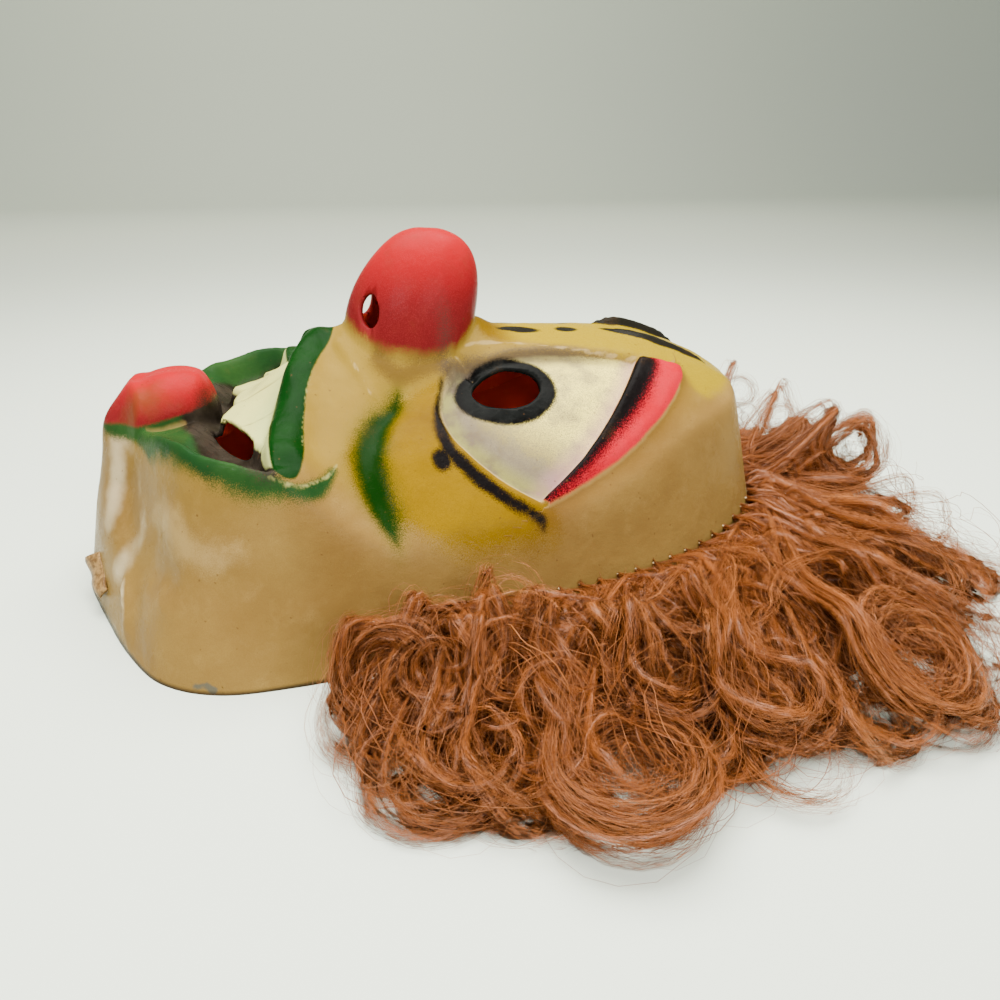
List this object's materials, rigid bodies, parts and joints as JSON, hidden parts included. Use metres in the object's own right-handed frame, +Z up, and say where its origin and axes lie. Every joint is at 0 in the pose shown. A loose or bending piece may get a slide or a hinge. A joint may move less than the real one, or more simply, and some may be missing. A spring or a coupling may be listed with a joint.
{
  "type": "clown mask",
  "caption": "Thin moulded plastic clown mask with a ball nose, open grin and tongue, lying face up, with locks of curly hair fanned round the forehead.",
  "frame": {"origin": "middle of the whole part's underside, on the surface that the rim and the hair lie on", "axes": "+X from the chin towards the forehead, +Y across the face towards the wearer's right eye, +Z up out of the face"},
  "size_m": [0.3928, 0.3566, 0.133],
  "materials": {
    "shell_plastic": "satin tan moulded plastic, airbrushed in green, red, yellow, white and black",
    "hair": "curly auburn synthetic hair"
  },
  "bodies": {
    "root": {"mask_shell": "shell_plastic", "hair_lock_01": "hair", "hair_lock_02": "hair", "hair_lock_03": "hair", "hair_lock_04": "hair", "hair_lock_05": "hair", "hair_lock_06": "hair", "hair_lock_07": "hair", "hair_lock_08": "hair", "hair_lock_09": "hair", "hair_lock_10": "hair", "hair_lock_11": "hair", "hair_lock_12": "hair", "hair_lock_13": "hair", "hair_lock_14": "hair"}
  },
  "joints": []
}
